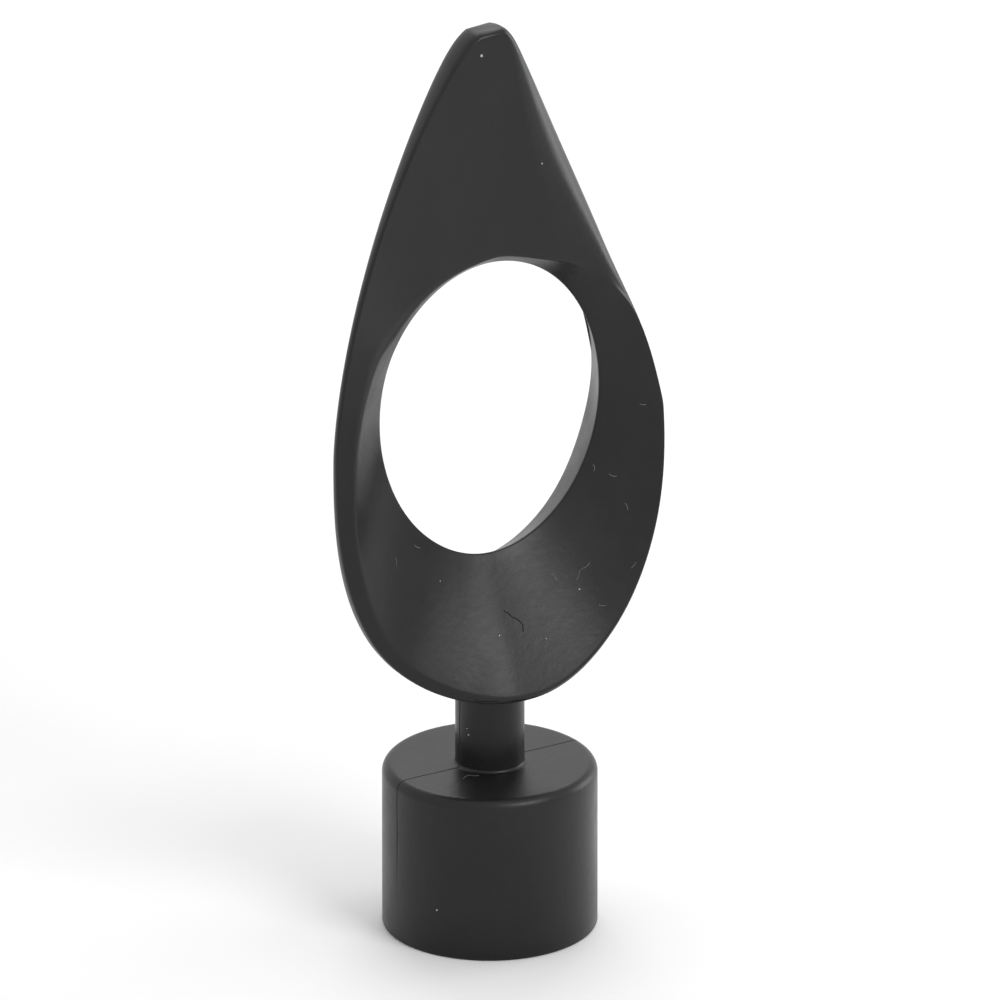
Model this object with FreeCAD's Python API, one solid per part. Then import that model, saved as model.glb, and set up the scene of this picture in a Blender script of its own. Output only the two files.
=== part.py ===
"""Curtain pole finial: one casting with a pole socket, a round neck and a
teardrop head that is pierced by a flared oval eye.

Millimetres, +Z up along the pole's axis.  The origin is the centre of the
socket's open mouth.  X runs along the casting's parting plane and -Y is the
side that shows, so the two mould halves draw along Y.
"""
import FreeCAD, Part
import math
import os

V = FreeCAD.Vector

# Socket cap that slips over the end of the pole
POLE_D = 28.0
SOCKET_CLEARANCE = 0.3
SOCKET_WALL = 1.85
SOCKET_DEPTH = 22.0
CAP_CROWN = 3.6
CAP_EDGE_R = 1.6
MOUTH_CHAMFER = 0.5

# Round neck between the cap and the head, and how far it runs into both
NECK_D = 10.3
NECK_LENGTH = 11.9
NECK_ROOT_R = 0.5
NECK_SINK = 7.0
CROWN_SINK = 1.5

# Teardrop outline of the head, seen along Y.  The flanks are not alike.
HEAD_HEIGHT = 105.2
WIDEST_UP = 40.8
CHIN_UP = 1.2
RIGHT_HALF_W = 27.6
LEFT_HALF_W = 27.0
RIGHT_TAPER, RIGHT_FULLNESS, RIGHT_JAW = 1.14, 0.77, 2.04
LEFT_TAPER, LEFT_FULLNESS, LEFT_JAW = 1.6, 0.69, 2.55
NOSE_FULLNESS = 10.0
NOSE_FADE = 20

# Oval eye, whose narrowest loop lies in the parting plane
EYE_UP = 44.5
EYE_HALF_W = 18.8
EYE_HALF_H = 22.95

# Sections round the eye, each at its bearing: 0 right, 90 tip, 180 left and
# 270 chin.  The eye flares forward to the lip, at a share of the way to the
# outline.  From there the front runs to the crest, set in from the outline,
# and rolls over the limb to the back.  Depths are forward of the parting plane.
BEARINGS = (0, 20, 35, 60, 90, 120, 145, 157, 180, 205, 235, 255, 270, 305, 335)
LIP_REACH = (0.92, 0.90, 0.44, 0.06, 0.05, 0.06, 0.20, 0.54, 0.75, 0.83, 0.91, 0.93, 0.95, 0.95, 0.94)
LIP_DEPTH = (4.8, 3.6, 2.3, 2.1, 2.5, 1.4, 1.0, 1.8, 2.2, 2.5, 4.6, 8.9, 11.6, 10.0, 7.6)
CREST_INSET = (0.35, 0.4, 2.5, 4.6, 1.2, 2.4, 2.8, 2.1, 1.6, 1.2, 0.9, 0.6, 0.5, 0.45, 0.4)
CREST_DEPTH = (4.6, 3.3, 2.6, 2.6, 1.2, 2.6, 2.7, 2.4, 2.2, 2.3, 4.3, 8.6, 11.3, 9.8, 7.4)
LIMB_DEPTH = (1.5, 0.6, -0.2, -0.3, 0.0, 0.7, 0.7, 0.7, 0.7, 1.0, 2.8, 6.0, 8.8, 7.0, 4.0)
BACK_INSET = (5.0, 5.0, 5.0, 4.5, 1.0, 0.4, 0.3, 0.3, 0.3, 0.4, 1.0, 3.0, 4.0, 6.0, 5.5)

# The back is shallow behind the left flank and deepest behind the right one
BACK_DEPTH = 4.2
BACK_TILT = 3.2
EYE_BACK_DEPTH = 6.0
EYE_BACK_TILT = 1.7
BACK_TILT_BEARING = -20
EYE_BACK_FLARE = 0.56
EYE_BACK_FLARE_SPREAD = 0.2
EYE_BACK_FLARE_BEARING = 75

STATION_STEP = 9
ROLL_STEPS = 4
SEW_GAP = 0.02

CAP_H = SOCKET_DEPTH + CAP_CROWN
BORE_R = (POLE_D + SOCKET_CLEARANCE) / 2
CAP_R = BORE_R + SOCKET_WALL
HEAD_Z = CAP_H + NECK_LENGTH
EYE_Z = HEAD_Z + EYE_UP
WIDEST_Z = HEAD_Z + WIDEST_UP
STATIONS = range(0, 360, STATION_STEP)


def around(values, bearing):
    """Smooth closed curve through the values given at the named bearings."""
    n = len(BEARINGS)
    b = bearing % 360
    k = max(i for i in range(n) if BEARINGS[i] <= b)

    def knot(j):
        return BEARINGS[j % n] + 360 * (j // n)

    start, end = knot(k), knot(k + 1)
    before, here, there, after = (values[j % n] for j in range(k - 1, k + 3))
    t = (b - start) / (end - start)
    leave = (there - before) * (end - start) / (end - knot(k - 1))
    arrive = (after - here) * (end - start) / (knot(k + 2) - start)
    return ((2 * t ** 3 - 3 * t ** 2 + 1) * here + (t ** 3 - 2 * t ** 2 + t) * leave
            + (3 * t ** 2 - 2 * t ** 3) * there + (t ** 3 - t ** 2) * arrive)


def swing(mean, tilt, high, bearing):
    """Value that is greatest at one bearing and least opposite to it."""
    return mean + tilt * math.cos(math.radians(bearing - high))


def eye_point(bearing):
    a = math.radians(bearing)
    return V(EYE_HALF_W * math.cos(a), 0, EYE_Z + EYE_HALF_H * math.sin(a))


def flank_point(side, turn):
    """Outline above the widest point; turn is 0 at the tip and 1 at the widest."""
    half, taper, fullness = ((RIGHT_HALF_W, RIGHT_TAPER, RIGHT_FULLNESS) if side > 0
                             else (LEFT_HALF_W, LEFT_TAPER, LEFT_FULLNESS))
    rise = 1 - turn * (1.05 * turn / (turn + 0.05)) ** 0.7
    nose = NOSE_FULLNESS * math.sqrt(1 - rise) * rise ** NOSE_FADE
    x = half * (1 - rise ** taper) ** fullness + nose
    return V(side * x, 0, WIDEST_Z + (HEAD_HEIGHT - WIDEST_UP) * rise)


def jaw_point(side, angle):
    """Outline below the widest point, a quarter of a full oval on each side."""
    half, power = (RIGHT_HALF_W, RIGHT_JAW) if side > 0 else (LEFT_HALF_W, LEFT_JAW)
    x = half * abs(math.cos(angle)) ** (2 / power)
    drop = (WIDEST_UP - CHIN_UP) * abs(math.sin(angle)) ** (2 / power)
    return V(side * x, 0, WIDEST_Z - drop)


def outline_point(bearing):
    b = bearing % 360
    side = 1 if b <= 90 or b > 270 else -1
    if b <= 180:
        return flank_point(side, abs(b - 90) / 90)
    return jaw_point(side, math.radians(b))


def inset_point(bearing, inset):
    """Point set in squarely from the outline, by at most half the width there."""
    p = outline_point(bearing)
    along = outline_point(bearing + 1) - outline_point(bearing - 1)
    along.normalize()
    inward = V(-along.z, 0, along.x)
    return p + inward * min(inset, inset * 0.5 + abs(p.x) * 0.25 + 0.2)


def loop(point):
    """Closed smooth wire through one point for each station."""
    curve = Part.BSplineCurve()
    knots = [b / 360 for b in STATIONS] + [1.0]
    curve.interpolate(Points=[point(b) for b in STATIONS], PeriodicFlag=True, Parameters=knots)
    return Part.Wire([curve.toShape()])


def lip_point(bearing):
    inner, outer = eye_point(bearing), outline_point(bearing)
    p = inner + (outer - inner) * around(LIP_REACH, bearing)
    return V(p.x, -around(LIP_DEPTH, bearing), p.z)


def crest_point(bearing):
    p = inset_point(bearing, around(CREST_INSET, bearing))
    return V(p.x, -around(CREST_DEPTH, bearing), p.z)


def limb_point(bearing):
    p = outline_point(bearing)
    return V(p.x, -around(LIMB_DEPTH, bearing), p.z)


def back_point(bearing):
    p = inset_point(bearing, around(BACK_INSET, bearing))
    return V(p.x, swing(BACK_DEPTH, BACK_TILT, BACK_TILT_BEARING, bearing), p.z)


def roll(share):
    """Loop on the curve that rolls from the crest past the limb to the back.

    Where both edges are set in alike, the curve swells out to touch the limb.
    """
    def point(bearing):
        crest, limb, back = crest_point(bearing), limb_point(bearing), back_point(bearing)
        insets = around(CREST_INSET, bearing), around(BACK_INSET, bearing)
        swell = min(insets) / max(insets)
        pull = limb + (limb - (crest + back) * 0.5) * swell
        return (crest * (1 - share) ** 2 + pull * (2 * share * (1 - share))
                + back * share ** 2)
    return loop(point)


def eye_back_point(bearing):
    """Back edge of the eye, opened out squarely and most along its long axis."""
    depth = swing(EYE_BACK_DEPTH, EYE_BACK_TILT, BACK_TILT_BEARING, bearing)
    turn = 2 * (bearing - EYE_BACK_FLARE_BEARING)
    flare = EYE_BACK_FLARE + EYE_BACK_FLARE_SPREAD * math.cos(math.radians(turn))
    a = math.radians(bearing)
    out = V(EYE_HALF_H * math.cos(a), 0, EYE_HALF_W * math.sin(a))
    out.normalize()
    p = eye_point(bearing) + out * (flare * depth)
    return V(p.x, depth, p.z)


def head():
    """Skin of lofts between the loops, sewn up into one solid."""
    eye, lip, eye_back = loop(eye_point), loop(lip_point), loop(eye_back_point)
    flank = [roll(k / ROLL_STEPS) for k in range(ROLL_STEPS + 1)]
    lofts = [
        Part.makeLoft([eye, lip], False, True),
        Part.makeLoft([lip, flank[0]], False, True),
        Part.makeLoft(flank, False, False),
        Part.makeLoft([flank[-1], eye_back], False, True),
        Part.makeLoft([eye_back, eye], False, True),
    ]
    skin = Part.makeShell([face for loft in lofts for face in loft.Faces])
    skin.sewShape(SEW_GAP)
    solid = Part.makeSolid(skin.Shells[0])
    if solid.Volume < 0:
        solid.reverse()
    return solid


def cap():
    body = Part.makeCylinder(CAP_R, CAP_H)
    rim = [e for e in body.Edges if e.BoundBox.ZMin > CAP_H / 2]
    body = body.makeFillet(CAP_EDGE_R, rim)
    bore = Part.makeCylinder(BORE_R, SOCKET_DEPTH)
    lead_in = Part.makeCone(BORE_R + MOUTH_CHAMFER, BORE_R, MOUTH_CHAMFER)
    return body.cut(bore).cut(lead_in)


def neck_root(stem):
    """Small cove where the neck stands on the cap."""
    root = [e for e in stem.Edges
            if e.Curve.TypeId == "Part::GeomCircle"
            and abs(e.Curve.Center.z - CAP_H) < SEW_GAP
            and abs(e.Curve.Radius - NECK_D / 2) < SEW_GAP]
    return stem.makeFillet(NECK_ROOT_R, root)


def main():
    os.makedirs("parts", exist_ok=True)
    length = CROWN_SINK + NECK_LENGTH + NECK_SINK
    neck = Part.makeCylinder(NECK_D / 2, length, V(0, 0, CAP_H - CROWN_SINK))
    finial = neck_root(cap().fuse(neck)).fuse(head())
    finial.exportStep("parts/finial.step")


main()
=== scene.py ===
import math

import bmesh
import bpy
from bpy.props import FloatProperty, FloatVectorProperty, IntProperty, PointerProperty
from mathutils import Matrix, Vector, noise
from mathutils.bvhtree import BVHTree


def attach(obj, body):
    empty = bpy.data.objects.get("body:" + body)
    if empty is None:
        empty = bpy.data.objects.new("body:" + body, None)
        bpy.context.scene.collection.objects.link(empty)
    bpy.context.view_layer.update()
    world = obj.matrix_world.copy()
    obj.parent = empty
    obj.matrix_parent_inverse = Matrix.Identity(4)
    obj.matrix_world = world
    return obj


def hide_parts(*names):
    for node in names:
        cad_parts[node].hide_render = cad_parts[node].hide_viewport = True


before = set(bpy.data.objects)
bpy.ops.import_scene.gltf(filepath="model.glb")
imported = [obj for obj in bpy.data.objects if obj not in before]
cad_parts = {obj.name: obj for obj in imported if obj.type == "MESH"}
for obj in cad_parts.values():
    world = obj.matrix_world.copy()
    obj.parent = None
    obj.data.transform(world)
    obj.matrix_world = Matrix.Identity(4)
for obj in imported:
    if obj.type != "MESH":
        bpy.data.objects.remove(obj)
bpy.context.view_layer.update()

bl_info = {
    "name": "Curtain Pole Finial",
    "version": (1, 0, 0),
    "blender": (4, 5, 0),
    "location": "View3D > Sidebar > Finial",
    "description": "Cast curtain pole finial in satin black paint, with its mould seam, marks and dust",
    "category": "Object",
}

MM = 0.001

# Cap and neck, in mm, as the solid has them
CAP_R = 16.0
CAP_H = 25.6
CAP_EDGE_R = 1.6
BORE_R = 14.15
SOCKET_DEPTH = 22.0
SOCKET_CORNER = 0.4
MOUTH_CHAMFER = 0.5
MOUTH_EDGE = 0.35
MOUTH_EDGE_MIDDLE = 0.1
NECK_R = 5.15
NECK_ROOT_R = 0.5
NECK_TOP = 44.5

# Mesh columns and rows of the cap and neck
CAP_COLUMNS = 192
BORE_ROWS = 6
SIDE_ROWS = 12
EDGE_ROWS = 12
TOP_ROWS = 8
ROOT_ROWS = 6
NECK_ROWS = 12

# Teardrop outline of the head, seen from the front, in mm; its flanks are not alike
HEAD_Z = 37.5
HEAD_HEIGHT = 105.2
WIDEST_UP = 40.8
CHIN_UP = 1.2
RIGHT = {"half": 27.6, "taper": 1.14, "full": 0.77, "jaw": 2.04}
LEFT = {"half": 27.0, "taper": 1.6, "full": 0.69, "jaw": 2.55}
NOSE_FULLNESS = 7.5
NOSE_FADE = 20
TIP_SPREAD = 0.05
TIP_SPREAD_POWER = 0.7
WIDEST_EASE = 0.04

# How far an edge may be set in: near the tip, and lower down where its own inset counts too
TIP_ROOM, TIP_LEAST = 0.6, 0.35
JAW_OWN, JAW_ROOM, JAW_LEAST = 0.5, 0.25, 0.2

# Oval eye, in mm; its narrow loop moves right by the slant's share of what it moves back
EYE_Z = 82.0
EYE_HALF_W = 18.8
EYE_HALF_H = 22.95
THROAT_SLANT = 0.6

# The back is deepest behind the right flank, in mm
BACK_DEPTH, BACK_TILT = 4.2, 3.2
EYE_BACK_DEPTH, EYE_BACK_TILT = 6.0, 1.7
BACK_TILT_BEARING = -20

# Sections round the eye at their bearings: 0 right, 90 tip, 180 left, 270 chin. The rim is
# thinner on the left, and rolls further over on the right, than in the solid.
BEARINGS = (0, 20, 35, 60, 90, 120, 145, 157, 180, 205, 235, 255, 270, 305, 335)
LIP_REACH = (0.94, 0.93, 0.53, 0.13, 0.05, 0.10, 0.26, 0.54, 0.75, 0.83, 0.91, 0.93, 0.95, 0.95, 0.94)
LIP_DEPTH = (4.8, 3.7, 3.2, 2.9, 2.0, 1.3, 0.2, 1.4, 2.4, 2.8, 4.4, 8.2, 10.8, 9.2, 7.2)
CREST_INSET = (0.35, 0.4, 3.2, 6.0, 0.8, 0.35, 0.3, 0.3, 0.3, 0.3, 0.4, 0.5, 0.5, 0.45, 0.4)
CREST_DEPTH = (4.6, 3.3, 2.9, 2.5, 1.9, 1.7, 1.4, 1.3, 1.3, 2.0, 3.8, 7.9, 10.5, 9.0, 7.0)
LIMB_DEPTH = (1.5, 0.7, -2.0, -3.0, 0.3, 1.1, 0.8, 0.7, 0.7, 1.4, 3.1, 6.8, 9.0, 6.9, 4.0)
THROAT_BACK = (0.0, 0.0, 0.0, 0.2, 0.5, 1.0, 2.0, 2.8, 3.2, 2.8, 1.6, 0.6, 0.1, 0.0, 0.0)
EYE_BACK_FLARE = (0.43, 0.43, 0.46, 0.66, 0.7, 0.62, 0.5, 0.45, 0.42, 0.45, 0.55, 0.6, 0.6, 0.5, 0.4)
BACK_INSET = (5.0, 4.4, 4.4, 4.5, 1.0, 1.6, 1.8, 1.8, 1.8, 2.2, 3.0, 4.0, 4.6, 6.0, 5.5)

# How softly the paint rounds each edge, in mm
LIP_SOFT = (0.3, 0.35, 0.4, 0.45, 0.5, 0.8, 1.6, 1.2, 0.5, 0.5, 0.5, 0.5, 0.6, 0.5, 0.4)
CREST_SOFT = (0.3, 0.3, 1.6, 3.5, 0.5, 0.25, 0.2, 0.2, 0.2, 0.2, 0.3, 0.4, 0.5, 0.4, 0.3)
BACK_SOFT = 1.5
EYE_BACK_SOFT = 0.5
THROAT_SOFT = 0.4

# Mesh rows across each band of the head's section
ROLL_ROWS = 16
THROAT_ROWS = 12
LAND_ROWS = 14
BACK_ROWS = 8
EYE_BACK_ROWS = 6
CORNER_ROWS = 6

# A rounded corner takes up at most this share of the band beside it
CORNER_SHARE = 0.45

# Points nearer than this are joined, and a mark's place is sought from this far off, in metres
MERGE_GAP = 1e-7
SEEK_FROM = 0.1

# Chips: their size as a share of the radius given, and how finely and deeply they are ragged
CHIP_SHARE = 0.8
RAGGED_SCALE = 9000
RAGGED_DEPTH = 0.5

# Cloudy paint: where its noise varies, and the tone and roughness that this is carried over to
CLOUDS = (0.3, 0.7)
PAINT_TONE = (0.8, 1.25)
PAINT_ROUGHNESS = (0.28, 0.42)
SEAM_DULLING = 0.5
STREAK_SQUASH = 0.035
STREAK_SHARE = 0.25
MARK_TONE = (0.5, 1.5)

# Front of the surround, and the shares of facing it between which its light fades
FRONT_ELEVATION = 15
FRONT_FADE = (0.1, 1.0)

# Camera and floor
VIEW_TARGET = (1.29, -0.78, 67.38)
VIEW_AZIMUTH = -31
VIEW_ELEVATION = 22.6
CAMERA_DISTANCE = 5.0
SENSOR_WIDTH = 36.0
FLOOR_HALF = 3.0


class FinialSettings(bpy.types.PropertyGroup):
    """Sizes and colours of the painted casting"""
    columns: IntProperty(
        name="Columns round the head", description="Mesh columns round the head's eye",
        default=360, min=90, max=720)
    orange_peel: FloatProperty(
        name="Orange peel", description="Height of the ripple in the sprayed paint",
        default=0.032 * MM, min=0.0, max=0.1 * MM, unit="LENGTH")
    seam_width: FloatProperty(
        name="Seam width", description="Width of the fine mould seam",
        default=0.2 * MM, min=0.05 * MM, max=1.0 * MM, unit="LENGTH")
    seam_depth: FloatProperty(
        name="Seam depth", description="Depth of the fine mould seam",
        default=0.08 * MM, min=0.0, max=0.5 * MM, unit="LENGTH")
    paint: FloatVectorProperty(
        name="Paint", description="Satin black paint of the casting",
        default=(0.0085, 0.0085, 0.0095), size=3, min=0.0, max=1.0, subtype="COLOR")
    # Painted shade in the bottom of the mould seam's groove
    seam: FloatVectorProperty(
        name="Seam shade", description="Shade in the bottom of the mould seam",
        default=(0.002, 0.002, 0.002), size=3, min=0.0, max=1.0, subtype="COLOR")


class DustSettings(bpy.types.PropertyGroup):
    """Sizes and colours of the dust, the small marks on the paint, and the painted shade line at the
    chin
    """
    fibre_radius: FloatProperty(
        name="Fibre radius", description="Radius of a hair of lint",
        default=0.036 * MM, min=0.01 * MM, max=0.3 * MM, unit="LENGTH")
    fibre_lift: FloatProperty(
        name="Fibre lift", description="How far the lint lies proud of the paint",
        default=0.03 * MM, min=0.0, max=0.3 * MM, unit="LENGTH")
    # Half width of the crack, and of the painted shade line at the chin
    crack_and_shade_radius: FloatProperty(
        name="Crack radius", description="Half the width of the hairline crack",
        default=0.07 * MM, min=0.01 * MM, max=0.3 * MM, unit="LENGTH")
    fibre: FloatVectorProperty(
        name="Fibre", description="Grey of the lint",
        default=(0.20, 0.20, 0.21), size=3, min=0.0, max=1.0, subtype="COLOR")
    chip: FloatVectorProperty(
        name="Chip", description="Pale undercoat that shows in the chips",
        default=(0.55, 0.54, 0.52), size=3, min=0.0, max=1.0, subtype="COLOR")
    # Dark colour of the crack, also used as painted shade for the line in the gap at the chin
    crack_and_shade_line: FloatVectorProperty(
        name="Crack And Painted Shade", description="Dark line of the hairline crack",
        default=(0.002, 0.002, 0.002), size=3, min=0.0, max=1.0, subtype="COLOR")


class StageSettings(bpy.types.PropertyGroup):
    """Floor, light and camera"""
    floor: FloatVectorProperty(
        name="Floor", description="Pale floor and backdrop",
        default=(0.93, 0.93, 0.93), size=3, min=0.0, max=1.0, subtype="COLOR")
    world_light: FloatProperty(
        name="World light", description="Strength of the even light from all round",
        default=0.92, min=0.0, max=2.0)
    front_light: FloatProperty(
        name="Front light", description="Strength of the even light from the front",
        default=0.14, min=0.0, max=2.0)
    key_power: FloatProperty(
        name="Key light", description="Power of the soft lamps, before each one's own share",
        default=1.7, min=0.0, max=20.0, unit="POWER")
    view_width: FloatProperty(
        name="View width", description="Width of the picture at the finial",
        default=147.8 * MM, min=0.05, max=1.0, unit="LENGTH")


# Mesh helpers

def around(values, bearing):
    """Smooth closed curve through the values at the named bearings."""
    n = len(BEARINGS)
    b = bearing % 360
    k = max(i for i in range(n) if BEARINGS[i] <= b)

    def knot(j):
        return BEARINGS[j % n] + 360 * (j // n)

    start, end = knot(k), knot(k + 1)
    before, here, there, after = (values[j % n] for j in range(k - 1, k + 3))
    t = (b - start) / (end - start)
    leave = (there - before) * (end - start) / (end - knot(k - 1))
    arrive = (after - here) * (end - start) / (knot(k + 2) - start)
    return ((2 * t ** 3 - 3 * t ** 2 + 1) * here + (t ** 3 - 2 * t ** 2 + t) * leave
            + (3 * t ** 2 - 2 * t ** 3) * there + (t ** 3 - t ** 2) * arrive)


def swing(mean, tilt, bearing):
    """Depth of the back, greatest behind the right flank and least opposite to it."""
    return mean + tilt * math.cos(math.radians(bearing - BACK_TILT_BEARING))


def outline(bearing):
    """Teardrop outline in the parting plane."""
    b = bearing % 360
    side, flank = (1, RIGHT) if b <= 90 or b > 270 else (-1, LEFT)
    if b <= 180:
        turn = abs(b - 90) / 90
        rise = 1 - turn * ((1 + TIP_SPREAD) * turn / (turn + TIP_SPREAD)) ** TIP_SPREAD_POWER
        nose = NOSE_FULLNESS * math.sqrt(max(1 - rise, 0)) * rise ** NOSE_FADE
        narrowing = rise ** flank["taper"] * math.sqrt(rise / (rise + WIDEST_EASE))
        x = flank["half"] * (1 - narrowing) ** flank["full"] + nose
        return Vector((side * x, 0, HEAD_Z + WIDEST_UP + (HEAD_HEIGHT - WIDEST_UP) * rise))
    a = math.radians(b)
    x = flank["half"] * abs(math.cos(a)) ** (2 / flank["jaw"])
    drop = (WIDEST_UP - CHIN_UP) * abs(math.sin(a)) ** (2 / flank["jaw"])
    return Vector((side * x, 0, HEAD_Z + WIDEST_UP - drop))


def inset(bearing, by):
    """Point set in squarely from the outline, by less where the head is narrow."""
    p = outline(bearing)
    along = (outline(bearing + 1) - outline(bearing - 1)).normalized()
    inward = Vector((-along.z, 0, along.x))
    if bearing % 360 < 180:
        return p + inward * min(by, abs(p.x) * TIP_ROOM + TIP_LEAST)
    return p + inward * min(by, by * JAW_OWN + abs(p.x) * JAW_ROOM + JAW_LEAST)


def eye(bearing):
    """Narrow loop of the eye, a little behind the parting plane on the left."""
    a = math.radians(bearing)
    back = around(THROAT_BACK, bearing)
    return Vector((EYE_HALF_W * math.cos(a) + THROAT_SLANT * back, back,
                   EYE_Z + EYE_HALF_H * math.sin(a)))


def eye_back(bearing):
    """Back edge of the eye, opened out from its narrow loop."""
    depth = swing(EYE_BACK_DEPTH, EYE_BACK_TILT, bearing)
    a = math.radians(bearing)
    out = Vector((EYE_HALF_H * math.cos(a), 0, EYE_HALF_W * math.sin(a))).normalized()
    p = eye(bearing)
    p += out * (around(EYE_BACK_FLARE, bearing) * (depth - p.y))
    return Vector((p.x, depth, p.z))


def straight(a, b, count):
    """Evenly spaced points between two points, without the points themselves."""
    return [a.lerp(b, k / count) for k in range(1, count)]


def rounded(before, corner, after, soft):
    """Points that round a corner by about the soft distance on each side."""
    a = corner + (before - corner).normalized() * min(soft, (before - corner).length * CORNER_SHARE)
    b = corner + (after - corner).normalized() * min(soft, (after - corner).length * CORNER_SHARE)
    return [a * (1 - t) ** 2 + corner * (2 * t * (1 - t)) + b * t ** 2
            for t in (k / CORNER_ROWS for k in range(CORNER_ROWS + 1))]


def head_section(bearing):
    """Closed row of points round the head's section at one bearing."""
    inner, limb = eye(bearing), outline(bearing)
    lip = inner.lerp(limb, around(LIP_REACH, bearing))
    lip.y = -around(LIP_DEPTH, bearing)
    limb.y = -around(LIMB_DEPTH, bearing)
    crest = inset(bearing, around(CREST_INSET, bearing))
    crest.y = -around(CREST_DEPTH, bearing)
    back = inset(bearing, around(BACK_INSET, bearing))
    back.y = swing(BACK_DEPTH, BACK_TILT, bearing)
    rear_eye = eye_back(bearing)

    def roll(t):
        """Two quarter ovals that meet squarely on the limb."""
        start, turn = (crest, math.pi * t) if t < 0.5 else (back, math.pi * (1 - t))
        p = start.lerp(limb, math.sin(turn))
        p.y = limb.y + (start.y - limb.y) * math.cos(turn)
        return p

    rolled = [roll(k / ROLL_ROWS) for k in range(2, ROLL_ROWS - 1)]
    front = rounded(inner, lip, crest, around(LIP_SOFT, bearing))
    over = rounded(lip, crest, rolled[0], around(CREST_SOFT, bearing))
    behind = rounded(rolled[-1], back, rear_eye, BACK_SOFT)
    rear = rounded(back, rear_eye, inner, EYE_BACK_SOFT)
    throat = rounded(rear_eye, inner, lip, THROAT_SOFT)
    return (throat + straight(throat[-1], front[0], THROAT_ROWS)
            + front + straight(front[-1], over[0], LAND_ROWS) + over + rolled
            + behind + straight(behind[-1], rear[0], BACK_ROWS)
            + rear + straight(rear[-1], throat[0], EYE_BACK_ROWS))


def quarter_turn(count):
    """Sine and cosine at even steps from 0 to 90 degrees."""
    angles = [math.radians(90 * k / count) for k in range(count + 1)]
    return [(math.sin(a), math.cos(a)) for a in angles]


def cap_profile():
    """Half section of the cap and neck, from the socket's floor to inside the head."""
    edge_r, edge_z = CAP_R - CAP_EDGE_R, CAP_H - CAP_EDGE_R
    root_r, root_z = NECK_R + NECK_ROOT_R, CAP_H + NECK_ROOT_R
    points = [(0.0, SOCKET_DEPTH), (BORE_R - SOCKET_CORNER, SOCKET_DEPTH),
              (BORE_R, SOCKET_DEPTH - SOCKET_CORNER)]
    points += [(BORE_R, SOCKET_DEPTH * k / BORE_ROWS) for k in range(BORE_ROWS - 1, 0, -1)]
    points += [(BORE_R, MOUTH_CHAMFER), (BORE_R + MOUTH_CHAMFER, 0.0)]
    points += [(CAP_R - MOUTH_EDGE, 0.0), (CAP_R - MOUTH_EDGE_MIDDLE, MOUTH_EDGE_MIDDLE),
               (CAP_R, MOUTH_EDGE)]
    points += [(CAP_R, MOUTH_EDGE + (edge_z - MOUTH_EDGE) * k / SIDE_ROWS)
               for k in range(1, SIDE_ROWS)]
    points += [(edge_r + CAP_EDGE_R * c, edge_z + CAP_EDGE_R * s)
               for s, c in quarter_turn(EDGE_ROWS)]
    points += [(edge_r + (root_r - edge_r) * k / TOP_ROWS, CAP_H) for k in range(1, TOP_ROWS)]
    points += [(root_r - NECK_ROOT_R * s, CAP_H + NECK_ROOT_R * (1 - c))
               for s, c in quarter_turn(ROOT_ROWS)]
    points += [(NECK_R, root_z + (NECK_TOP - root_z) * k / NECK_ROWS)
               for k in range(1, NECK_ROWS + 1)]
    points.append((0.0, NECK_TOP))
    return points


def add_rings(bm, rings, closed_rows):
    """Quads between rings of points, joined round and, if asked, end to end."""
    rows = [[bm.verts.new(p * MM) for p in ring] for ring in rings]
    count = len(rows)
    for i in range(count):
        a, b = rows[i], rows[(i + 1) % count]
        span = len(a) if closed_rows else len(a) - 1
        for j in range(span):
            bm.faces.new((a[j], a[(j + 1) % len(a)], b[(j + 1) % len(a)], b[j]))


def smooth_object(name, mesh, material):
    """Object with one material and smooth shading, put into the scene."""
    mesh.materials.clear()
    mesh.materials.append(material)
    for polygon in mesh.polygons:
        polygon.use_smooth = True
    piece = bpy.data.objects.new(name, mesh)
    bpy.context.scene.collection.objects.link(piece)
    return piece


def object_from(bm, name, material):
    """Object made from a finished bmesh, which is freed."""
    mesh = bpy.data.meshes.new(name)
    bm.to_mesh(mesh)
    bm.free()
    return smooth_object(name, mesh, material)


def hairline(name, lines, radius, material, lift):
    """Thin hairs on the casting: points are X and Z on its front, or X, Y and Z, in mm."""
    tree = casting_tree()
    curve = bpy.data.curves.new(name, "CURVE")
    curve.dimensions = "3D"
    curve.bevel_depth = radius
    curve.bevel_resolution = 2
    curve.use_fill_caps = True
    for line in lines:
        seated = [seat(tree, *p, lift) if len(p) == 2 else Vector(p) * MM for p in line]
        spline = curve.splines.new("NURBS")
        spline.points.add(len(seated) - 1)
        for point, place in zip(spline.points, seated):
            point.co = (*place, 1.0)
        spline.order_u = 3
        spline.use_endpoint_u = True
    shape = bpy.data.objects.new(name, curve)
    bpy.context.scene.collection.objects.link(shape)
    depsgraph = bpy.context.evaluated_depsgraph_get()
    mesh = bpy.data.meshes.new_from_object(shape.evaluated_get(depsgraph))
    bpy.data.objects.remove(shape)
    bpy.data.curves.remove(curve)
    return smooth_object(name, mesh, material)


def seat(tree, x, z, lift):
    """Point on the side of the casting that shows, a little proud of its paint."""
    start = Vector((x * MM, -SEEK_FROM, z * MM))
    hit, normal, _, _ = tree.ray_cast(start, Vector((0, 1, 0)))
    if hit is None:
        raise RuntimeError(f"no casting behind the mark at {x}, {z}")
    outward = normal if normal.y < 0 else -normal
    return hit + outward * lift


def casting_tree():
    """Search tree of the painted casting's faces."""
    bm = bmesh.new()
    bm.from_mesh(bpy.data.objects["painted_casting"].data)
    tree = BVHTree.FromBMesh(bm)
    bm.free()
    return tree


# Shader helpers and node groups

def add_node(tree, kind, **values):
    """New node with some of its own settings changed."""
    node = tree.nodes.new(kind)
    for key, value in values.items():
        setattr(node, key, value)
    return node


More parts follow.
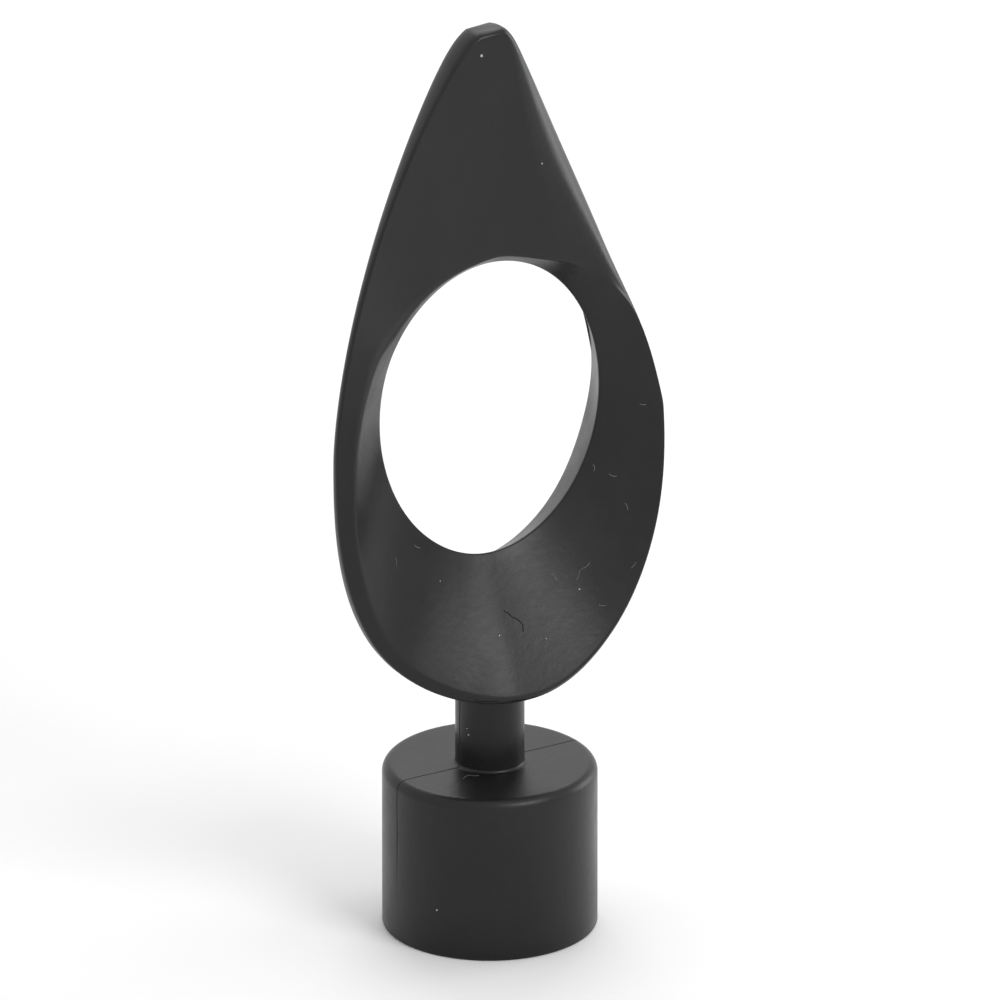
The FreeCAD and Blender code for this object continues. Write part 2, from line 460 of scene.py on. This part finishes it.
def map_range(tree, source, to_ends, from_ends=(0.0, 1.0), **values):
    """Node that carries a value from one range over to another."""
    node = add_node(tree, "ShaderNodeMapRange", **values)
    labels = ("From Min", "From Max", "To Min", "To Max")
    for label, value in zip(labels, (*from_ends, *to_ends)):
        node.inputs[label].default_value = value
    tree.links.new(source, node.inputs["Value"])
    return node


def math_node(tree, operation, first, second=None, third=None):
    """Math node whose inputs are sockets or plain numbers."""
    node = add_node(tree, "ShaderNodeMath", operation=operation)
    for place, value in zip(node.inputs, (first, second, third)):
        if isinstance(value, bpy.types.NodeSocket):
            tree.links.new(value, place)
        elif value is not None:
            place.default_value = value
    return node.outputs[0]


def noise_node(tree, place, scale, detail, roughness=0.5):
    """Noise over the object's own space, with its scale from a socket or a number."""
    node = add_node(tree, "ShaderNodeTexNoise", noise_dimensions="3D")
    node.inputs["Detail"].default_value = detail
    node.inputs["Roughness"].default_value = roughness
    if isinstance(scale, bpy.types.NodeSocket):
        tree.links.new(scale, node.inputs["Scale"])
    else:
        node.inputs["Scale"].default_value = scale
    tree.links.new(place, node.inputs["Vector"])
    return node.outputs["Fac"]


def new_group(name, inputs, outputs):
    """Node group with number sockets, its input and output nodes, and object coordinates."""
    group = bpy.data.node_groups.new(name, "ShaderNodeTree")
    for label, default in inputs.items():
        entry = group.interface.new_socket(name=label, in_out="INPUT", socket_type="NodeSocketFloat")
        entry.default_value = default
    for label in outputs:
        group.interface.new_socket(name=label, in_out="OUTPUT", socket_type="NodeSocketFloat")
    given = group.nodes.new("NodeGroupInput").outputs
    result = group.nodes.new("NodeGroupOutput").inputs
    place = group.nodes.new("ShaderNodeTexCoord").outputs["Object"]
    return group, given, result, place


def sprayed_paint_group():
    """Orange peel, cloudy gloss and upright brushed streaks of sprayed paint."""
    group, given, result, place = new_group(
        "Sprayed Paint",
        {"Peel Scale": 900.0, "Cloud Scale": 90.0, "Streak Scale": 1500.0},
        ("Height", "Clouds", "Streaks"))
    stretch = add_node(group, "ShaderNodeVectorMath", operation="MULTIPLY")
    stretch.inputs[1].default_value = (1.0, 1.0, STREAK_SQUASH)
    group.links.new(place, stretch.inputs[0])
    peel = noise_node(group, place, given["Peel Scale"], 3.0, 0.55)
    clouds = noise_node(group, place, given["Cloud Scale"], 6.0, 0.65)
    streaks = noise_node(group, stretch.outputs["Vector"], given["Streak Scale"], 4.0)
    group.links.new(peel, result["Height"])
    group.links.new(clouds, result["Clouds"])
    group.links.new(streaks, result["Streaks"])
    return group


def mould_seam_group():
    """Mask of a fine wandering line where the two mould halves met, on the cap and neck."""
    group, given, result, place = new_group(
        "Mould Seam",
        {"Width": 0.2 * MM, "Wander": 0.3 * MM, "Bottom": 4.0 * MM, "Fade": 18.0 * MM,
         "Top": HEAD_Z * MM},
        ("Mask",))
    split = group.nodes.new("ShaderNodeSeparateXYZ")
    group.links.new(place, split.inputs[0])
    drift = math_node(group, "SUBTRACT", noise_node(group, place, 260.0, 2.0), 0.5)
    offset = math_node(group, "MULTIPLY_ADD", drift, given["Wander"], split.outputs["Y"])
    line = map_range(group, math_node(group, "ABSOLUTE", offset), (1.0, 0.0),
                     interpolation_type="SMOOTHSTEP")
    group.links.new(given["Width"], line.inputs["From Max"])
    rising = map_range(group, split.outputs["Z"], (0.0, 1.0), interpolation_type="SMOOTHSTEP")
    group.links.new(given["Bottom"], rising.inputs["From Min"])
    group.links.new(given["Fade"], rising.inputs["From Max"])
    below_head = math_node(group, "LESS_THAN", split.outputs["Z"], given["Top"])
    faded = math_node(group, "MULTIPLY", line.outputs["Result"], rising.outputs["Result"])
    group.links.new(math_node(group, "MULTIPLY", faded, below_head), result["Mask"])
    return group


def place_group(tree, name, make, **values):
    """Group node in a material, with some of its inputs changed."""
    node = tree.nodes.new("ShaderNodeGroup")
    node.node_tree = bpy.data.node_groups.get(name) or make()
    for key, value in values.items():
        node.inputs[key.replace("_", " ")].default_value = value
    return node


def new_material(name):
    """Material with nodes, its tree and its shader."""
    material = bpy.data.materials.new(name)
    material.use_nodes = True
    tree = material.node_tree
    return material, tree, tree.nodes["Principled BSDF"]


def shaded(tree, colour, amount):
    """Colour made darker or lighter by an amount that varies over the surface."""
    node = add_node(tree, "ShaderNodeVectorMath", operation="SCALE")
    node.inputs[0].default_value = colour
    tree.links.new(amount, node.inputs["Scale"])
    return node.outputs["Vector"]


def satin_black_paint(settings):
    """Satin black paint with orange peel, faint brushed streaks and the mould seam, whose groove is
    darkened with painted shade.
    """
    material, tree, shader = new_material("Satin Black Paint")
    shader.inputs["IOR"].default_value = 1.42
    shader.inputs["Specular IOR Level"].default_value = 0.4
    spray = place_group(tree, "Sprayed Paint", sprayed_paint_group)
    seam = place_group(tree, "Mould Seam", mould_seam_group, Width=settings.seam_width)
    link = tree.links.new

    tone = map_range(tree, spray.outputs["Clouds"], PAINT_TONE, CLOUDS)
    # The seam mask mixes painted shade into the paint's colour along the groove
    colour = add_node(tree, "ShaderNodeMix", data_type="RGBA")
    colour.inputs["B"].default_value = (*settings.seam, 1.0)
    link(seam.outputs["Mask"], colour.inputs["Factor"])
    link(shaded(tree, settings.paint, tone.outputs["Result"]), colour.inputs["A"])
    link(colour.outputs["Result"], shader.inputs["Base Color"])

    gloss = map_range(tree, spray.outputs["Clouds"], PAINT_ROUGHNESS, CLOUDS)
    dull = math_node(tree, "MULTIPLY_ADD", seam.outputs["Mask"], SEAM_DULLING, gloss.outputs["Result"])
    link(dull, shader.inputs["Roughness"])

    ripple = tree.nodes.new("ShaderNodeBump")
    ripple.inputs["Strength"].default_value = 0.8
    ripple.inputs["Distance"].default_value = settings.orange_peel
    relief = math_node(tree, "MULTIPLY_ADD", spray.outputs["Streaks"], STREAK_SHARE,
                       spray.outputs["Height"])
    link(relief, ripple.inputs["Height"])
    groove = add_node(tree, "ShaderNodeBump", invert=True)
    groove.inputs["Strength"].default_value = 1.0
    groove.inputs["Distance"].default_value = settings.seam_depth
    link(seam.outputs["Mask"], groove.inputs["Height"])
    link(ripple.outputs["Normal"], groove.inputs["Normal"])
    link(groove.outputs["Normal"], shader.inputs["Normal"])
    return material


def small_mark_material(name, colour, roughness):
    """Dry matt stuff with a mottled tone: lint, chipped undercoat, or the crack and the painted shade
    line at the chin.
    """
    material, tree, shader = new_material(name)
    shader.inputs["Roughness"].default_value = roughness
    shader.inputs["Specular IOR Level"].default_value = 0.2
    spray = place_group(tree, "Sprayed Paint", sprayed_paint_group, Cloud_Scale=1800.0)
    tone = map_range(tree, spray.outputs["Clouds"], MARK_TONE)
    tree.links.new(shaded(tree, colour, tone.outputs["Result"]), shader.inputs["Base Color"])
    return material


# Operators

class FINIAL_OT_casting(bpy.types.Operator):
    """Builds the painted casting: socket cap, neck and pierced teardrop head"""
    bl_idname = "finial.casting"
    bl_label = "Painted casting"

    def execute(self, context):
        settings = context.scene.finial
        bm = bmesh.new()
        step = 360 / settings.columns
        add_rings(bm, [head_section(k * step) for k in range(settings.columns)], True)
        turns = []
        for k in range(CAP_COLUMNS):
            a = math.tau * k / CAP_COLUMNS
            turns.append([Vector((r * math.cos(a), r * math.sin(a), z)) for r, z in cap_profile()])
        add_rings(bm, turns, False)
        bmesh.ops.remove_doubles(bm, verts=bm.verts, dist=MERGE_GAP)
        bmesh.ops.recalc_face_normals(bm, faces=bm.faces)
        casting = object_from(bm, "painted_casting", satin_black_paint(settings))
        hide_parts("finial")
        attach(casting, "root")
        return {"FINISHED"}


class FINIAL_OT_marks(bpy.types.Operator):
    """Adds the hairline crack, a dark line of painted shade in the gap at the chin, and the chips in the
    paint
    """
    bl_idname = "finial.marks"
    bl_label = "Crack and chips"

    # X and Z of each line's points on the front, in mm: the crack, then the painted shade line in the
    # gap at the chin
    crack_and_shade_lines = (
        ((-0.2, 51.3), (0.1, 50.9), (0.4, 50.9), (0.8, 50.2), (1.5, 49.9), (2.1, 49.3),
         (2.3, 48.7), (2.0, 48.0)),
        # Painted shade: the gap where the lip overhangs the neck
        ((-7.8, 40.0), (-6.9, 39.7), (-5.8, 39.8), (-4.6, 39.6)),
        ((-2.3, 39.4), (-1.0, 39.4)),
    )
    # X, Z and radius of each chip, in mm
    chips = ((-2.6, 139.3, 0.28), (7.5, 120.3, 0.16), (12.2, 52.4, 0.16), (-1.9, 48.2, 0.15),
             (-13.9, 7.4, 0.14), (-4.9, 32.3, 0.12), (-4.8, 31.4, 0.15), (5.4, 46.6, 0.12),
             (-9.0, 56.6, 0.12))

    def execute(self, context):
        settings = context.scene.finial_dust
        # One dark material draws the crack and the painted shade line at the chin
        crack_and_shade_line = hairline("crack_and_painted_shade_line", self.crack_and_shade_lines, settings.crack_and_shade_radius,
                         small_mark_material("Crack And Painted Shade", settings.crack_and_shade_line, 0.9), 0.0)
        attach(crack_and_shade_line, "root")
        tree = casting_tree()
        bm = bmesh.new()
        for x, z, size in self.chips:
            middle = seat(tree, x, z, 0.0)
            bump = bmesh.ops.create_icosphere(bm, subdivisions=2, radius=size * MM)
            for vert in bump["verts"]:
                ragged = 1 + RAGGED_DEPTH * noise.noise(vert.co * RAGGED_SCALE + Vector((x, z, 0)))
                vert.co = middle + vert.co * ragged * CHIP_SHARE
        chips = object_from(bm, "paint_chips",
                            small_mark_material("Chipped Undercoat", settings.chip, 0.7))
        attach(chips, "root")
        return {"FINISHED"}


class FINIAL_OT_dust(bpy.types.Operator):
    """Lays the few hairs of lint on the head and cap"""
    bl_idname = "finial.dust"
    bl_label = "Dust fibres"

    # X and Z of each hair's points on the front, or X, Y and Z on the cap's top, in mm
    lint = (
        ((12.1, 53.7), (12.6, 54.2), (12.7, 54.8), (13.3, 55.2), (13.9, 55.3), (14.5, 55.9)),
        ((8.7, 54.9), (9.1, 54.5), (9.2, 53.9)),
        ((20.0, 54.8), (20.4, 55.1), (20.8, 55.6)),
        ((14.5, 50.1), (14.8, 49.8), (15.4, 49.9)),
        ((24.0, 78.8), (24.4, 78.5), (24.8, 78.7)),
        ((17.3, 69.7), (17.6, 69.3), (17.3, 68.7)),
        ((19.2, 68.3), (19.6, 67.8), (20.1, 68.0)),
        ((20.7, 64.0), (21.0, 63.5), (20.9, 63.0)),
        ((-12.4, 62.5), (-12.1, 62.0), (-11.4, 61.8)),
        ((-16.3, 61.7), (-16.0, 61.0), (-16.3, 60.4)),
        ((-7.0, -4.0, 25.65), (-5.6, -3.0, 25.65), (-5.3, -4.1, 25.65), (-4.4, -4.2, 25.65)),
        ((2.7, -8.0, 25.63), (3.1, -7.8, 25.63)),
    )

    def execute(self, context):
        settings = context.scene.finial_dust
        fibres = hairline("dust_fibres", self.lint, settings.fibre_radius,
                          small_mark_material("Lint", settings.fibre, 0.9), settings.fibre_lift)
        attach(fibres, "root")
        return {"FINISHED"}


class FINIAL_OT_stage(bpy.types.Operator):
    """Sets the pale floor, the soft light and the camera"""
    bl_idname = "finial.stage"
    bl_label = "Stage"

    # Name, azimuth, elevation, distance and size in metres, and share of the power setting
    lamps = (
        ("key_light", 14, 40, 0.7, 0.3, 1.2),
        ("side_light", 88, 8, 0.6, 0.3, 0.5),
        ("top_light", 150, 50, 0.8, 0.5, 1.0),
    )

    def execute(self, context):
        settings = context.scene.finial_stage
        scene = context.scene
        self.make_floor(settings)
        self.make_world(scene, settings)
        for name, azimuth, elevation, distance, size, share in self.lamps:
            light = bpy.data.lights.new(name, "AREA")
            light.shape = "SQUARE"
            light.size = size
            light.energy = settings.key_power * share
            self.aim(scene, name, light, azimuth, elevation, distance)
        camera = bpy.data.cameras.new("camera")
        camera.sensor_width = SENSOR_WIDTH
        camera.lens = SENSOR_WIDTH * CAMERA_DISTANCE / settings.view_width
        camera.clip_end = 4 * CAMERA_DISTANCE
        scene.camera = self.aim(scene, "camera", camera, VIEW_AZIMUTH, VIEW_ELEVATION, CAMERA_DISTANCE)
        scene.view_settings.view_transform = "Standard"
        return {"FINISHED"}

    @staticmethod
    def direction(azimuth, elevation):
        """Direction from the finial; azimuth 0 is the front and 90 the right."""
        a, e = math.radians(azimuth), math.radians(elevation)
        return Vector((math.sin(a) * math.cos(e), -math.cos(a) * math.cos(e), math.sin(e)))

    @classmethod
    def aim(cls, scene, name, data, azimuth, elevation, distance):
        """Puts a lamp or camera round the finial, facing it."""
        toward = cls.direction(azimuth, elevation)
        thing = bpy.data.objects.new(name, data)
        thing.location = Vector(VIEW_TARGET) * MM + toward * distance
        thing.rotation_euler = (-toward).to_track_quat("-Z", "Y").to_euler()
        scene.collection.objects.link(thing)
        return thing

    @staticmethod
    def make_floor(settings):
        """Wide flat floor under the cap."""
        bm = bmesh.new()
        bm.faces.new([bm.verts.new((x * FLOOR_HALF, y * FLOOR_HALF, 0.0))
                      for x, y in ((-1, -1), (1, -1), (1, 1), (-1, 1))])
        material, _, shader = new_material("Pale Floor")
        shader.inputs["Base Color"].default_value = (*settings.floor, 1.0)
        shader.inputs["Roughness"].default_value = 0.8
        shader.inputs["Specular IOR Level"].default_value = 0.1
        object_from(bm, "floor", material)

    @classmethod
    def make_world(cls, scene, settings):
        """White surround whose diffuse light is weaker from the front."""
        world = bpy.data.worlds.new("soft_surround")
        world.use_nodes = True
        tree = world.node_tree
        background = tree.nodes["Background"]
        background.inputs["Color"].default_value = (1.0, 1.0, 1.0, 1.0)
        toward = add_node(tree, "ShaderNodeVectorMath", operation="DOT_PRODUCT")
        toward.inputs[1].default_value = cls.direction(VIEW_AZIMUTH, FRONT_ELEVATION)
        place = tree.nodes.new("ShaderNodeTexCoord")
        tree.links.new(place.outputs["Generated"], toward.inputs[0])
        dim = map_range(tree, toward.outputs["Value"], (settings.world_light, settings.front_light),
                        FRONT_FADE, interpolation_type="SMOOTHSTEP")
        path = tree.nodes.new("ShaderNodeLightPath")
        glossy = math_node(tree, "MAXIMUM", path.outputs["Is Camera Ray"], path.outputs["Is Glossy Ray"])
        seen = math_node(tree, "MAXIMUM", glossy, path.outputs["Is Transmission Ray"])
        strength = add_node(tree, "ShaderNodeMix", data_type="FLOAT")
        strength.inputs["B"].default_value = 1.0
        tree.links.new(dim.outputs["Result"], strength.inputs["A"])
        tree.links.new(seen, strength.inputs["Factor"])
        tree.links.new(strength.outputs["Result"], background.inputs["Strength"])
        scene.world = world


class FINIAL_PT_panel(bpy.types.Panel):
    """Sizes, colours and building steps of the finial"""
    bl_idname = "FINIAL_PT_panel"
    bl_label = "Curtain Pole Finial"
    bl_space_type = "VIEW_3D"
    bl_region_type = "UI"
    bl_category = "Finial"

    def draw(self, context):
        layout = self.layout
        for settings in (context.scene.finial, context.scene.finial_dust, context.scene.finial_stage):
            column = layout.column(align=True)
            for name in settings.__annotations__:
                column.prop(settings, name)
        for operator in OPERATORS:
            layout.operator(operator.bl_idname)


OPERATORS = (FINIAL_OT_casting, FINIAL_OT_marks, FINIAL_OT_dust, FINIAL_OT_stage)
CLASSES = (FinialSettings, DustSettings, StageSettings, *OPERATORS, FINIAL_PT_panel)


def register():
    for cls in CLASSES:
        bpy.utils.register_class(cls)
    bpy.types.Scene.finial = PointerProperty(type=FinialSettings)
    bpy.types.Scene.finial_dust = PointerProperty(type=DustSettings)
    bpy.types.Scene.finial_stage = PointerProperty(type=StageSettings)


def unregister():
    del bpy.types.Scene.finial_stage
    del bpy.types.Scene.finial_dust
    del bpy.types.Scene.finial
    for cls in reversed(CLASSES):
        bpy.utils.unregister_class(cls)


def main():
    register()
    bpy.ops.finial.casting()
    bpy.ops.finial.marks()
    bpy.ops.finial.dust()
    bpy.ops.finial.stage()


if __name__ == "__main__":
    main()
